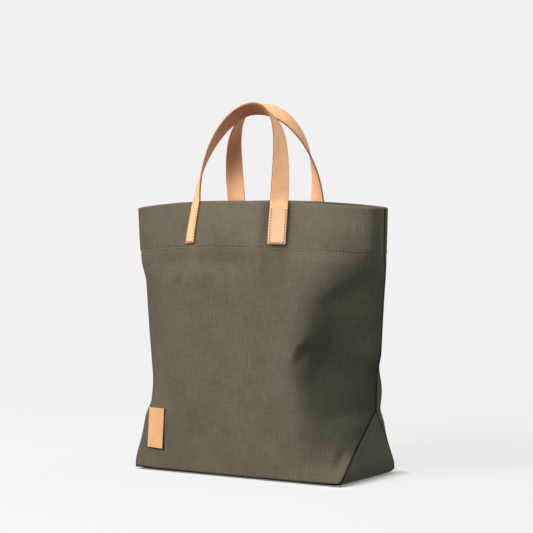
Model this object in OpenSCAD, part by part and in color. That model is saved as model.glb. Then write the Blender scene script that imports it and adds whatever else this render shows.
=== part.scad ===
// Tote-style weekender bag: a soft canvas body with two leather strap handles.
//
// Millimetres. +Z is up, +X is to the right seen from the front, and the front
// faces -Y. The origin is the middle of the base, on the ground.
//
// Each side of the bag is drawn as a front side. The back side is its mirror
// image in Y, with values of its own. Heights on the cloth are nominal: the
// cloth stands up to rim_rise higher in its middle than at the side seams.

/* [Body] */
// height of the rim at the side seams
rim_z = 370; // [320:1:420]
// how much higher the rim stands in its middle
rim_rise = 10; // [0:0.5:20]
// length of the base
base_w = 330; // [280:1:380]
// depth of the base
base_d = 160; // [120:1:200]
// length of the rim between the side seams
mouth_w = 398; // [340:1:460]
// height of the point of each triangular end
point_z = 93; // [60:1:130]
// distance between the points of the two triangular ends
point_w = 368; // [320:1:420]
// height of the seam round the base
seam_z = 3; // [1:0.5:6]
// width of the slope between the flat of the base and its seam
seam_in = 12; // [6:1:24]
// thickness of the canvas
canvas_t = 1.5; // [1:0.1:2.5]

/* [Hem and lining pieces] */
// depth of the hem stitching below the rim
hem_d = 63.5; // [40:0.5:90]
// thickness of the turned-in hem
facing_t = 1.2; // [0.6:0.1:2]
// gap between layers of cloth
layer_gap = 0.15; // [0.05:0.05:0.5]
// width of the tape over the inside seams
tape_w = 8; // [5:0.5:12]
// thickness of the tape over the inside seams
tape_t = 2.2; // [1:0.1:3]
// width of the inside pocket
pocket_w = 150; // [100:5:200]
// depth of the inside pocket
pocket_d = 120; // [80:5:160]
// thickness of the stiffening board
board_t = 3; // [1:0.5:5]

/* [Straps] */
// width of each leather strap
strap_w = 25; // [18:0.5:35]
// thickness of each leather strap
strap_t = 2.5; // [1.5:0.1:4]
// length of strap sewn on below the rim
tab_len = 59; // [40:1:80]
// half the distance between the tabs at their lower ends
tab_x = 69; // [50:0.5:90]
// gap between a leather piece and the canvas behind it
leather_gap = 0.3; // [0.1:0.05:0.5]
// radius of the round end of each handle leg
leg_end_r = 9.2; // [7:0.1:12]

/* [Front handle] */
// how far the middle of the front rim stands out past its ends
front_bulge = 26; // [0:0.5:35]
// half the distance between the front handle's legs at the rim
front_leg_x = 66; // [50:0.5:80]
// height of the front handle above the rim
front_arch_h = 129.5; // [100:0.5:160]
// how far the top of the front handle leans over the opening
front_lean = 45; // [0:0.5:60]
// how far the middle of its legs bows out
front_bow = 8; // [0:0.5:16]
// how far its top stands to the right
front_shift = 2.5; // [-10:0.5:10]
// turn of its legs from facing sideways to facing forwards
front_turn = 51.5; // [40:0.5:90]
// angle that the front handle is swung outwards
front_swing = 0; // [0:1:95]

/* [Back handle] */
// how far the middle of the back rim stands out past its ends
back_bulge = 8; // [0:0.5:35]
// half the distance between the back handle's legs at the rim
back_leg_x = 66.8; // [50:0.5:80]
// height of the back handle above the rim
back_arch_h = 129; // [100:0.5:160]
// how far the top of the back handle leans over the opening
back_lean = 32.2; // [0:0.5:60]
// how far the middle of its legs bows out
back_bow = 8.5; // [0:0.5:16]
// how far its top stands to the right
back_shift = -6.5; // [-10:0.5:10]
// turn of its legs from facing sideways to facing backwards
back_turn = 74; // [40:0.5:90]
// angle that the back handle is swung outwards
back_swing = 0; // [0:1:105]

/* [Label and stitches] */
// width of the leather label
label_w = 31; // [20:1:50]
// height of the leather label
label_h = 56.5; // [40:0.5:80]
// thickness of the leather label
label_t = 2; // [1:0.1:3]
// distance of the label's middle from the middle of the bag
label_x = 131; // [90:1:140]
// height of the label's middle
label_z = 60; // [45:1:80]
// length of one stitch
stitch_len = 4; // [2:0.5:6]
// width of the sewing thread
thread_w = 0.7; // [0.4:0.1:1.2]
// distance of the strap stitching from the strap's edges
stitch_in = 2.5; // [1.5:0.5:5]

/* [Hidden] */
canvas_color = [0.36, 0.34, 0.28];
lining_color = [0.31, 0.29, 0.24];
tape_color = [0.25, 0.24, 0.20];
thread_color = [0.48, 0.45, 0.37];
leather_color = [0.88, 0.66, 0.47];
label_color = [0.86, 0.62, 0.43];
hole_color = [0.34, 0.30, 0.24];
board_color = [0.24, 0.22, 0.20];

hair = 0.05;       // half the gap where the front and back canvas meet
probe = 0.01;      // step for measuring a slope
halvings = 22;     // steps of the search for a place on the cloth

// Half of a level cut through the bag, from the middle of the front to the side
// seam, at heights given as shares of rim_z. Each row is [height, depth at the
// straps, where the flat front ends, x of the corner, depth at the corner].
// Depths are shares of base_d / 2 and lengths are shares of base_w / 2.
cuts = [
  [0.000, 1.000, 0.36, 0.73, 1.00],
  [0.125, 0.990, 0.72, 0.97, 1.01],
  [0.190, 0.985, 0.75, 0.98, 1.02],
  [0.250, 0.980, 0.74, 0.90, 1.01],
  [0.350, 0.970, 0.72, 0.80, 0.97],
  [0.470, 0.957, 0.70, 0.73, 0.95],
  [0.675, 0.938, 0.72, 0.82, 0.91],
  [0.785, 0.895, 0.68, 1.07, 0.80],
  [0.841, 0.850, 0.74, 1.14, 0.64],
  [1.000, 0.611, 0.73, 1.18, 0.65]
];
// The side seam's distance from the middle: [height, share of the way].
flare = [[0, 0], [0.4, 0.5], [0.8, 0.89], [1, 1]];
// The seams of the triangular ends: [share of point_z, share of the way out
// from base_w to point_w, depth as a share of base_d / 2].
end_seam = [[0, 0, 1], [0.16, 0.26, 0.89], [0.5, 0.55, 0.55], [1, 1, 0]];
// How the bulge of the rim fades below it: [height, share of the bulge].
bulge_fade = [[0.54, 0], [0.675, 0.15], [0.841, 0.70], [1, 1]];

// the rim's bulge falls away over this width, centred on the straps
ramp_x = 67;
ramp_flat = 13;
ramp_end = 23;
ramp_run = ramp_flat + ramp_end;

stitch_z = rim_z - hem_d;
facing_z = stitch_z - 4;
panel_z = seam_z + canvas_t + 0.1;
tab_z = rim_z - tab_len;
leg_z = rim_z + rim_rise * (1 - pow(ramp_x / (mouth_w / 2), 2)) - 0.3;
hinge_up = leg_end_r + 0.9; // the hinge's height above the legs' start

// a side's own values
front = [front_bulge, front_leg_x, front_arch_h, front_lean, front_bow,
         front_shift, front_turn, 1.25, front_swing];
back = [back_bulge, back_leg_x, back_arch_h, back_lean, back_bow,
        back_shift, back_turn, 1.5, back_swing];
function bulge(side) = side[0];
function leg_x(side) = side[1];
function arch_h(side) = side[2];
function lean(side) = side[3];
function bow(side) = side[4];
function shift(side) = side[5];
function turn(side) = side[6];
function twist_power(side) = side[7];
function swing(side) = side[8];
top_turn = -36; // the top of each handle tips down towards the other handle
arch_rise = 83;
arch_out = [-1.5, 4];
arch_crown = [39.5, 46];

// ---- small tools ----
function mix(a, b, t) = a + (b - a) * t;
function unit(v) = v / norm(v);
function column(table, k) = [for (row = table) [row[0], row[k]]];
function bezier(a, b, c, d, t) =
  pow(1 - t, 3) * a + 3 * pow(1 - t, 2) * t * b + 3 * (1 - t) * t * t * c + pow(t, 3) * d;

// ---- the cloth of one side ----
function cut_at(z, k) = lookup(z / rim_z, column(cuts, k));
function seam_x(z) = z < point_z
  ? mix(base_w, point_w, lookup(z / point_z, column(end_seam, 1))) / 2
  : mix(point_w, mouth_w, lookup((z - point_z) / (rim_z - point_z), flare)) / 2;
function seam_y(z) = z < point_z ? base_d / 2 * lookup(z / point_z, column(end_seam, 2)) : 0;
function bulge_at(side, z) = bulge(side) * lookup(z / rim_z, bulge_fade);

// the share of the bulge that is left at a distance x from the middle
function bulge_share(x) =
  let (d = x - ramp_x, left = max(0, ramp_end - abs(d)))
  abs(d) < ramp_flat
    ? 0.5 - d / ramp_run
    : 0.5 - sign(d) * (0.5 - left * left / (2 * (ramp_end - ramp_flat) * ramp_run));

// [x, depth] of the level cut at nominal height z, with t from 0 in the middle to 1 at the seam
function cut_point(side, t, z) =
  let (
    b = bulge_at(side, z),
    mid = cut_at(z, 1) * base_d / 2 - b / 2,
    p = bezier([0, mid], [cut_at(z, 2) * base_w / 2, mid],
               [cut_at(z, 3) * base_w / 2, cut_at(z, 4) * base_d / 2],
               [seam_x(z), seam_y(z)], t)
  ) [p[0], p[1] + b * bulge_share(p[0])];

function rise_at(x, z) =
  rim_rise * lookup(z / rim_z, [[0.27, 0], [0.83, 1]]) * (1 - pow(x / (mouth_w / 2), 2));

// a point on the outside of the cloth of the right half; hand = -1 mirrors it to the left
function cloth(side, t, z, hand = 1) =
  let (p = cut_point(side, t, z)) [hand * p[0], -p[1], z + rise_at(p[0], z)];

function cloth_normal(side, t, z, hand = 1) =
  let (
    across = cloth(side, t + probe, z, hand) - cloth(side, t - probe, z, hand),
    up = cloth(side, t, z + probe, hand) - cloth(side, t, z - probe, hand)
  ) unit(hand * cross(across, up));

function find_t(side, x, z, lo = 0, hi = 1, n = halvings) =
  n == 0 ? (lo + hi) / 2
    : let (m = (lo + hi) / 2)
      cut_point(side, m, z)[0] > x
        ? find_t(side, x, z, lo, m, n - 1)
        : find_t(side, x, z, m, hi, n - 1);

// a point at a distance x from the middle, moved off the cloth by `off`
function skin(side, x, z, off, hand = 1) =
  let (t = find_t(side, abs(x), z), h = x < 0 ? -hand : hand)
  cloth(side, t, z, h) + off * cloth_normal(side, t, z, h);

// the places across half a side where the cloth gets a column of points
inner_x = [0, 15, 30, 44, 49, ramp_x - ramp_flat, ramp_x, ramp_x + ramp_flat, 85, 90];
outer_steps = 9;

function half_row(side, z, off, hand, reach) =
  let (
    t0 = find_t(side, inner_x[len(inner_x) - 1], z),
    ts = concat([for (x = inner_x) find_t(side, x, z)],
                [for (k = [1:outer_steps]) mix(t0, reach, k / outer_steps)])
  )
  [for (t = ts)
    let (
      n = cloth_normal(side, min(t, 1 - probe), z, hand),
      p = cloth(side, t, z, hand),
      at_seam = t > 0.999 && z >= point_z,
      q = at_seam ? [p[0] + off / abs(n[0]) * hand, p[1], p[2]] : p + off * n
    ) [q[0], min(q[1], -hair), q[2]]];

function row(side, z, off, reach = 1) =
  let (l = half_row(side, z, off, -1, reach), r = half_row(side, z, off, 1, reach))
  concat([for (k = [len(l) - 1:-1:1]) l[k]], r);

// ---- solids from points ----
function joined(rows) = [for (r = rows) each r];

function grid_faces(rows, cols, first) =
  [for (i = [0:rows - 2]) for (j = [0:cols - 2])
    let (a = first + i * cols + j, d = a + cols)
    each [[a, d, d + 1], [a, d + 1, a + 1]]];

// a closed sheet between two grids of points; rows run upwards, columns to the right
module sheet(outer, inner) {
  rows = len(outer);
  cols = len(outer[0]);
  n = rows * cols;
  edge = concat([for (j = [0:cols - 1]) j],
                [for (i = [1:rows - 1]) i * cols + cols - 1],
                [for (j = [cols - 2:-1:0]) (rows - 1) * cols + j],
                [for (i = [rows - 2:-1:1]) i * cols]);
  rim = [for (k = [0:len(edge) - 1])
    let (a = edge[k], b = edge[(k + 1) % len(edge)])
    each [[a, b, b + n], [a, b + n, a + n]]];
  back_faces = [for (f = grid_faces(rows, cols, n)) [f[2], f[1], f[0]]];
  polyhedron(points = concat(joined(outer), joined(inner)),
             faces = concat(grid_faces(rows, cols, 0), back_faces, rim), convexity = 12);
}

// a closed bar through rings of four points
module bar(rings) {
  last = 4 * (len(rings) - 1);
  sides = [for (i = [0:len(rings) - 2]) for (k = [0:3])
    let (a = 4 * i + k, b = 4 * i + (k + 1) % 4)
    each [[a, b, b + 4], [a, b + 4, a + 4]]];
  ends = [[3, 2, 1], [3, 1, 0], [last, last + 1, last + 2], [last, last + 2, last + 3]];
  polyhedron(points = joined(rings), faces = concat(sides, ends), convexity = 12);
}

// ---- canvas ----
function steps(lo, hi, n) = [for (k = [0:n]) mix(lo, hi, k / n)];
hem_rows = concat([facing_z, stitch_z], steps(tab_z, rim_z, 5));
panel_rows = concat(steps(panel_z, point_z, 6), steps(point_z + 18, facing_z - 18, 10),
                    hem_rows);
function without_ends(r) = [for (k = [1:len(r) - 2]) r[k]];

module panel(side) {
  color(canvas_color)
    sheet([for (z = panel_rows) row(side, z, 0)],
          [for (z = panel_rows) row(side, z, -canvas_t)]);
}

module hem_facing(side) {
  top = -canvas_t - layer_gap;
  color(lining_color)
    sheet([for (z = hem_rows) without_ends(row(side, z, top))],
          [for (z = hem_rows) without_ends(row(side, z, top - facing_t))]);
}

module pocket(side) {
  top = -canvas_t - 4 * layer_gap;
  rows = steps(facing_z - 6 - pocket_d, facing_z - 6, 6);
  xs = [for (k = [-6:6]) k * pocket_w / 12];
  color(lining_color)
    sheet([for (z = rows) [for (x = xs) skin(side, x, z, top)]],
          [for (z = rows) [for (x = xs) skin(side, x, z, top - facing_t)]]);
}

// the floor and the two triangular ends are one piece of canvas
module base_panel() {
  xs = [-base_w / 2, -base_w / 2 + seam_in, base_w / 2 - seam_in, base_w / 2];
  ys = [-base_d / 2, -base_d / 2 + seam_in, base_d / 2 - seam_in, base_d / 2];
  lift = [seam_z, 0, 0, seam_z];
  floor_top = [for (i = [0:3]) [for (j = [0:3])
    [xs[j], ys[i], max(lift[i], lift[j]) + canvas_t]]];
  floor_low = [for (r = floor_top) [for (p = r) p - [0, 0, canvas_t]]];
  color(canvas_color) union() {
    sheet(floor_top, floor_low);
    end_triangle();
    mirror([1, 0, 0]) end_triangle();
  }
}

module end_triangle() {
  rows = steps(seam_z + 0.4, point_z - 5, 7);
  cols = [-1, -0.5, 0, 0.5, 1];
  outer = [for (z = rows) [for (c = cols) [seam_x(z), c * (seam_y(z) - 2.4), z]]];
  inner = [for (r = outer) [for (p = r) p - [canvas_t, 0, 0]]];
  sheet(outer, inner);
}

module base_board() {
  w = base_w - 2 * seam_in - 6;
  d = base_d - 2 * seam_in - 6;
  r = 10;
  color(board_color)
    translate([0, 0, canvas_t + layer_gap])
      linear_extrude(board_t)
        union() {
          square([w - 2 * r, d], center = true);
          square([w, d - 2 * r], center = true);
          for (x = [-1, 1]) for (y = [-1, 1])
            translate([x * (w / 2 - r), y * (d / 2 - r)]) circle(r, $fn = 32);
        }
}

// ---- tape over the inside seams ----
module side_tape() {
  x_in = [3.2, 3.2 + tape_w];
  color(tape_color)
    bar([for (z = steps(point_z + 8, facing_z - 3, 6))
      let (a = seam_x(z) - x_in[0], b = seam_x(z) - x_in[1], y = tape_t / 2)
      [[a, -y, z], [a, y, z], [b, y, z], [b, -y, z]]]);
}

module end_tape() {
  depth_in = 6;
  zs = [for (s = [0.12, 0.3, 0.5, 0.68]) s * point_z];
  front_leg = [for (z = zs) [seam_x(z) - depth_in, -seam_y(z) + depth_in, z]];
  back_leg = [for (k = [len(zs) - 1:-1:0])
    [front_leg[k][0], -front_leg[k][1], front_leg[k][2]]];
  top = [[seam_x(point_z) - 2 * depth_in, 0, point_z - depth_in - 4]];
  path = concat(front_leg, top, back_leg);
  last = len(path) - 1;
  color(tape_color)
    bar([for (k = [0:last])
      let (
        along = unit(path[min(k + 1, last)] - path[max(k - 1, 0)]),
        inward = unit([-1, -sign(round(path[k][1])), 0]),
        flat = unit(cross(along, inward)) * tape_t / 2,
        deep = unit(cross(along, flat)) * tape_w / 4
      ) [path[k] + deep + flat, path[k] - deep + flat, path[k] - deep - flat,
         path[k] + deep - flat]]);
}

// ---- leather ----
function tab_centre_x(side, z) = mix(tab_x, leg_x(side), (z - tab_z) / tab_len);

// the tab's own directions at nominal height z: [middle, across, outwards]
function tab_frame(side, z, hand) =
  let (
    t = find_t(side, tab_centre_x(side, z), z),
    n = cloth_normal(side, t, z, hand),
    across = unit([-n[1], n[0], 0])
  ) [cloth(side, t, z, hand), across, n];

function tab_point(side, z, hand, a, off) =
  let (f = tab_frame(side, z, hand)) f[0] + a * f[1] + off * f[2];

module strap_tab(side, hand) {
  rows = steps(tab_z, rim_z, 5);
  cols = [-strap_w / 2, 0, strap_w / 2];
  color(leather_color)
    sheet([for (z = rows) [for (a = cols)
            tab_point(side, z, hand, a, leather_gap + strap_t)]],
          [for (z = rows) [for (a = cols) tab_point(side, z, hand, a, leather_gap)]]);
}

// the centreline of a handle, s from 0 at the rim to 1 at the top
function arch_point(side, s, hand) =
  let (
    k = side == front ? 0 : 1,
    h = arch_h(side),
    foot = tab_point(side, rim_z, 1, 0, leather_gap + strap_t / 2),
    uv = bezier([foot[0], 0], [foot[0] + arch_out[k], arch_rise],
                [arch_crown[k], h], [0, h], s),
    up = uv[1] / h
  ) [hand * uv[0] + shift(side) * up,
     foot[1] + lean(side) * up - 4 * bow(side) * up * (1 - up),
     leg_z + uv[1]];

// [middle, towards the strap's inner edge, outwards]
function arch_frame(side, s, hand) =
  let (
    along = unit(arch_point(side, s + probe, hand) - arch_point(side, s - probe, hand)),
    sideways = unit(hand * [along[2], 0, -along[0]]),
    forwards = unit([0, -1, 0] + along[1] * along),
    turned = mix(top_turn, turn(side), pow(1 - s, twist_power(side))),
    n = cos(turned) * sideways + sin(turned) * forwards
  ) [arch_point(side, s, hand), hand * cross(n, along), n];

function arch_ring(side, s, hand, half_w) =
  let (f = arch_frame(side, s, hand), w = half_w * f[1], n = strap_t / 2 * f[2])
  [f[0] + w + n, f[0] - w + n, f[0] - w - n, f[0] + w - n];

// the hinge line of a handle passes through the middle of its legs
function s_at_height(side, up, lo = 0, hi = 1, n = halvings) =
  n == 0 ? (lo + hi) / 2
    : let (m = (lo + hi) / 2)
      arch_point(side, m, 1)[2] - leg_z > up
        ? s_at_height(side, up, lo, m, n - 1)
        : s_at_height(side, up, m, hi, n - 1);
function hinge_point(side) = arch_point(side, s_at_height(side, hinge_up), 1);

// below the hinge line the leg stays inside a circle, so that it swings clear of the rim
function leg_half_w(side, up) =
  let (
    drop = hinge_up - up,
    face = 90 - turn(side),
    room = sqrt(max(0, pow(leg_end_r, 2) - drop * drop)) - strap_t / 2 * cos(face) - 0.3
  ) up >= hinge_up ? strap_w / 2 : min(strap_w / 2, max(1, room / sin(face)));

module handle(side) {
  legs_up = [1.4, 2.4, 4, 6, 8.2];
  leg_s = [for (u = legs_up) s_at_height(side, u)];
  arch_s = steps(s_at_height(side, hinge_up), 1, 22);
  right = concat(
    [for (k = [0:len(leg_s) - 1])
      arch_ring(side, leg_s[k], 1, leg_half_w(side, legs_up[k]))],
    [for (s = arch_s) arch_ring(side, s, 1, strap_w / 2)]);
  left = concat(
    [for (k = [0:len(leg_s) - 1])
      arch_ring(side, leg_s[k], -1, leg_half_w(side, legs_up[k]))],
    [for (s = arch_s) arch_ring(side, s, -1, strap_w / 2)]);
  hinge = hinge_point(side);
  color(leather_color)
    translate(hinge) rotate([swing(side), 0, 0]) translate(-hinge)
      bar(concat(right, [for (k = [len(left) - 2:-1:0]) left[k]]));
}

module label() {
  t = find_t(front, label_x, label_z);
  n = cloth_normal(front, t, label_z, -1);
  right = unit([-n[1], n[0], 0]);
  up = cross(n, -right);
  p = cloth(front, t, label_z, -1) + n * leather_gap;
  color(label_color)
    multmatrix([[right[0], up[0], n[0], p[0]],
                [right[1], up[1], n[1], p[1]],
                [right[2], up[2], n[2], p[2]],
                [0, 0, 0, 1]])
      translate([-label_w / 2, -label_h / 2, 0]) cube([label_w, label_h, label_t]);
}

// ---- thread ----
// a row of stitches along a path, with the outward direction at each of its points
module thread(path, normals) {
  last = len(path) - 1;
  bar([for (k = [0:last])
    let (
      along = unit(path[min(k + 1, last)] - path[max(k - 1, 0)]),
      n = normals[k],
      w = unit(cross(n, along)) * thread_w / 2,
      low = path[k] + n * leather_gap,
      high = low + n * (k % 2 == 0 ? 0.15 : 0.5)
    ) [low + w, low - w, high - w, high + w]]);
}

function divided(points, lengths) =
  [for (k = [0:len(points) - 2])
    let (n = max(1, round(norm(points[k + 1] - points[k]) / lengths)))
    for (i = [0:n - 1]) mix(points[k], points[k + 1], i / n)];

module hem_stitching(side) {
  on_cloth = row(side, stitch_z, 0, 0.97);
  lifted = row(side, stitch_z, 1, 0.97);
  path = divided(on_cloth, stitch_len / 2);
  normals = [for (k = [0:len(on_cloth) - 2])
    let (n = max(1, round(norm(on_cloth[k + 1] - on_cloth[k]) / (stitch_len / 2))))
    for (i = [0:n - 1])
      unit(mix(lifted[k] - on_cloth[k], lifted[k + 1] - on_cloth[k + 1], i / n))];
  color(thread_color) thread(path, normals);
}

module tab_stitching(side, hand) {
  a = strap_w / 2 - stitch_in;
  low = tab_z + stitch_in;
  high = rim_z - 12;
  n_up = round((high - low) / stitch_len) * 2;
  n_across = round(2 * a / stitch_len) * 2;
  places = concat([for (k = [0:n_up]) [-a, mix(high, low, k / n_up)]],
                  [for (k = [1:n_across]) [mix(-a, a, k / n_across), low]],
                  [for (k = [1:n_up]) [a, mix(low, high, k / n_up)]]);
  off = leather_gap + strap_t;
  color(hole_color)
    thread([for (p = places) tab_point(side, p[1], hand, p[0], off)],
           [for (p = places) tab_frame(side, p[1], hand)[2]]);
}

module at_back() { mirror([0, 1, 0]) children(); }

panel(front);  // front_panel
at_back() panel(back);  // back_panel
base_panel();
base_board();
hem_facing(front);  // front_hem_facing
at_back() hem_facing(back);  // back_hem_facing
hem_stitching(front);  // front_hem_stitching
at_back() hem_stitching(back);  // back_hem_stitching
mirror([1, 0, 0]) side_tape();  // left_side_seam_tape
side_tape();  // right_side_seam_tape
mirror([1, 0, 0]) end_tape();  // left_end_seam_tape
end_tape();  // right_end_seam_tape
strap_tab(front, -1);  // front_left_strap_tab
strap_tab(front, 1);  // front_right_strap_tab
at_back() strap_tab(back, -1);  // back_left_strap_tab
at_back() strap_tab(back, 1);  // back_right_strap_tab
tab_stitching(front, -1);  // front_left_tab_stitching
tab_stitching(front, 1);  // front_right_tab_stitching
at_back() tab_stitching(back, -1);  // back_left_tab_stitching
at_back() tab_stitching(back, 1);  // back_right_tab_stitching
label();  // leather_label
at_back() pocket(back);  // inside_pocket
handle(front);  // front_handle
at_back() handle(back);  // back_handle
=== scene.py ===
"""Looks of the weekender bag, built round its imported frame.

Shapes are worked out in millimetres, as in the CAD, and add_mesh() turns them into
metres. The front of the bag faces -Y. Places on the cloth are (s, z): s is measured
along the cloth from the middle of the bag, positive to the right, and z is the
nominal height, from 0 at the base to RIM_Z at the rim.
"""

import bpy
import numpy as np
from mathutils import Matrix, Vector


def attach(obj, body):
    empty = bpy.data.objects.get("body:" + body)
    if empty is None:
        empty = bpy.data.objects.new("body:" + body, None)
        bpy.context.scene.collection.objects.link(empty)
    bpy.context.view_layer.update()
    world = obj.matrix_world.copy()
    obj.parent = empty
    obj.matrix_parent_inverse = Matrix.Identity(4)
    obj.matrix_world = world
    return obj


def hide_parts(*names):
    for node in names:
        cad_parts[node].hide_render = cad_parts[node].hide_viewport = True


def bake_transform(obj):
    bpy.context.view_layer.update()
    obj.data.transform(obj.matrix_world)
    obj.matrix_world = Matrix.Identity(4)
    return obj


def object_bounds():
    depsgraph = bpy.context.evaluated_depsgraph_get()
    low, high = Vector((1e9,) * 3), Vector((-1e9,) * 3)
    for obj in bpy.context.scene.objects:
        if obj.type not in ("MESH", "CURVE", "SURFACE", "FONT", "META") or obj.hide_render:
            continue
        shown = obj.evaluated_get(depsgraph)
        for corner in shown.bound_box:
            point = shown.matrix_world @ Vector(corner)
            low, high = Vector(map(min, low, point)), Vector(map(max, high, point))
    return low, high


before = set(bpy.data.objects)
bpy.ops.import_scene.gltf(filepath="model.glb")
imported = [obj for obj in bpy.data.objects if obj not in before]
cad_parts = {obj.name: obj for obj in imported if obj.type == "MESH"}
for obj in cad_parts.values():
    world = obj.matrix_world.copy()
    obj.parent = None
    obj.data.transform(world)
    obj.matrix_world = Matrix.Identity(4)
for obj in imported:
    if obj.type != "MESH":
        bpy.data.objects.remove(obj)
CAD_LOW, CAD_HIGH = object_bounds()

# ---- sizes of the bag, as in the CAD ----
RIM_Z, RIM_RISE = 370.0, 10.0
BASE_W, BASE_D, MOUTH_W = 330.0, 160.0, 398.0
POINT_Z, POINT_W = 93.0, 368.0
SEAM_Z = 3.0
CANVAS_T, FACING_T = 1.5, 1.4
HEM_D = 63.5
STITCH_Z = RIM_Z - HEM_D
FACING_Z = STITCH_Z - 4.0
STRAP_W, STRAP_T, TAB_LEN, TAB_X = 25.0, 2.5, 59.0, 69.0
TAB_Z = RIM_Z - TAB_LEN
LEATHER_GAP = 0.3
STITCH_LEN, STITCH_IN = 4.0, 2.5
LABEL_W, LABEL_H, LABEL_T, LABEL_X, LABEL_Z = 31.0, 56.5, 2.0, 131.0, 60.0
RAMP_X, RAMP_FLAT, RAMP_END = 67.0, 13.0, 23.0
RAMP_RUN = RAMP_FLAT + RAMP_END

# half of a level cut: [height, depth at the straps, end of the flat front, corner x, corner depth]
CUTS = np.array([
    [0.000, 1.000, 0.36, 0.73, 1.00],
    [0.125, 0.990, 0.72, 0.97, 1.01],
    [0.190, 0.985, 0.75, 0.98, 1.02],
    [0.250, 0.980, 0.74, 0.90, 1.01],
    [0.350, 0.970, 0.72, 0.80, 0.97],
    [0.470, 0.957, 0.70, 0.73, 0.95],
    [0.675, 0.938, 0.72, 0.82, 0.91],
    [0.785, 0.895, 0.68, 1.07, 0.80],
    [0.841, 0.850, 0.74, 1.14, 0.64],
    [1.000, 0.611, 0.73, 1.18, 0.65],
])
FLARE = np.array([[0, 0], [0.4, 0.5], [0.8, 0.89], [1, 1]])
END_SEAM = np.array([[0, 0, 1], [0.16, 0.26, 0.89], [0.5, 0.55, 0.55], [1, 1, 0]])
BULGE_FADE = np.array([[0.54, 0], [0.675, 0.15], [0.841, 0.70], [1, 1]])
# the empty bag leans: its base stands this far right of and behind where the rim is
DRIFT = np.array([6.0, 8.0])

# the two sides. bulge is how far the cloth stands out at the rim between the straps. The strap's
# legs stand at leg_x and its arch is arch_h high; arch_out and crown shape the arch. The arch
# leans in, bows out half-way and stands off to the right by lean, bow and shift, and its face
# turns from `turn` degrees at the legs to TOP_TURN at the top, as fast as twist says.
FRONT = dict(sign=-1, bulge=26, leg_x=66, arch_h=129.5, lean=45, bow=8, shift=2.5, turn=51.5,
             twist=1.25, arch_out=-1.5, crown=39.5, body="front_handle")
BACK = dict(sign=1, bulge=8, leg_x=66.8, arch_h=129, lean=32.2, bow=8.5, shift=-6.5, turn=74,
            twist=1.5, arch_out=4, crown=46, body="back_handle")
TOP_TURN, ARCH_RISE = -36.0, 83.0
LEG_Z = RIM_Z + RIM_RISE * (1 - (RAMP_X / (MOUTH_W / 2)) ** 2) - 0.3
CORNER_R = 1.3   # radius of a strap's corners

SEAM_R = 1.9     # radius of the cloth where it turns in at a seam
RIM_R = (CANVAS_T + FACING_T) / 2
RIM_STEPS = 5    # rings of points round the rim's roll


# ---- small tools ----
def smooth(v, table, k=1):
    """A curve through column k of a table that has no kinks and no overshoot."""
    x, y = table[:, 0], table[:, k]
    h, d = np.diff(x), np.diff(y) / np.diff(x)
    same = d[1:] * d[:-1] > 0
    inner = np.where(same, 2 * d[1:] * d[:-1] / np.where(same, d[1:] + d[:-1], 1), 0)
    m = np.concatenate([[d[0]], inner, [d[-1]]])
    v = np.clip(v, x[0], x[-1])
    i = np.clip(np.searchsorted(x, v) - 1, 0, len(x) - 2)
    t = (v - x[i]) / h[i]
    return ((1 + 2 * t) * (1 - t) ** 2 * y[i] + t * (1 - t) ** 2 * h[i] * m[i]
            + t * t * (3 - 2 * t) * y[i + 1] + t * t * (t - 1) * h[i] * m[i + 1])


def step(v, low, high):
    """Rises smoothly from 0 at low to 1 at high."""
    t = np.clip((v - low) / (high - low), 0, 1)
    return t * t * (3 - 2 * t)


def bell(v, middle, width):
    """1 at the middle and fading out smoothly to either side."""
    return np.exp(-(((v - middle) / width) ** 2))


def unit(v):
    return v / np.maximum(np.linalg.norm(v, axis=-1, keepdims=True), 1e-12)


def length_along(line):
    """The length of a line of points from its start to each of them."""
    return np.concatenate([[0], np.cumsum(np.linalg.norm(np.diff(line, axis=0), axis=1))])


def bezier(points, t):
    a, b, c, d = (np.asarray(p, float) for p in points)
    t = np.asarray(t, float)[..., None]
    return (1 - t) ** 3 * a + 3 * (1 - t) ** 2 * t * b + 3 * (1 - t) * t * t * c + t ** 3 * d


def soften(values, sigma):
    """Rows of values, averaged with their neighbours over about sigma rows."""
    reach = int(np.ceil(3 * sigma))
    kernel = bell(np.arange(-reach, reach + 1), 0, sigma * 1.414)
    kernel /= kernel.sum()
    padded = np.concatenate([2 * values[:1] - values[reach:0:-1], values,
                             2 * values[-1:] - values[-2:-reach - 2:-1]])
    return np.stack([np.convolve(padded[:, k], kernel, "valid") for k in range(values.shape[1])], 1)


# ---- meshes ----
def add_mesh(name, points, faces, material, body=None, uv=None, marks=None,
             replaces=()):
    """A smooth mesh piece from points in millimetres; uv and marks hold values per point."""
    mesh = bpy.data.meshes.new(name)
    mesh.from_pydata((np.asarray(points, float) / 1000).tolist(), [], [list(map(int, f)) for f in faces])
    mesh.polygons.foreach_set("use_smooth", [True] * len(mesh.polygons))
    if uv is not None:
        layer = mesh.uv_layers.new(name="cloth")
        corner = np.zeros(len(mesh.loops), int)
        mesh.loops.foreach_get("vertex_index", corner)
        layer.data.foreach_set("uv", (np.asarray(uv, float) / 1000)[corner].ravel())
    for key, values in (marks or {}).items():
        attribute = mesh.attributes.new(key, "FLOAT", "POINT")
        attribute.data.foreach_set("value", np.asarray(values, np.float32))
    mesh.update()
    piece = bpy.data.objects.new(name, mesh)
    bpy.context.scene.collection.objects.link(piece)
    mesh.materials.append(material)
    if replaces:
        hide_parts(*replaces)
    if body:
        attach(piece, body)
    return piece


def grid_faces(rows, cols, first=0, flip=False):
    """Faces of a grid of points whose first one is number `first`."""
    a = (np.arange(rows - 1)[:, None] * cols + np.arange(cols - 1)[None]).ravel() + first
    quads = np.stack([a, a + 1, a + cols + 1, a + cols], 1)
    return quads[:, ::-1] if flip else quads


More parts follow.
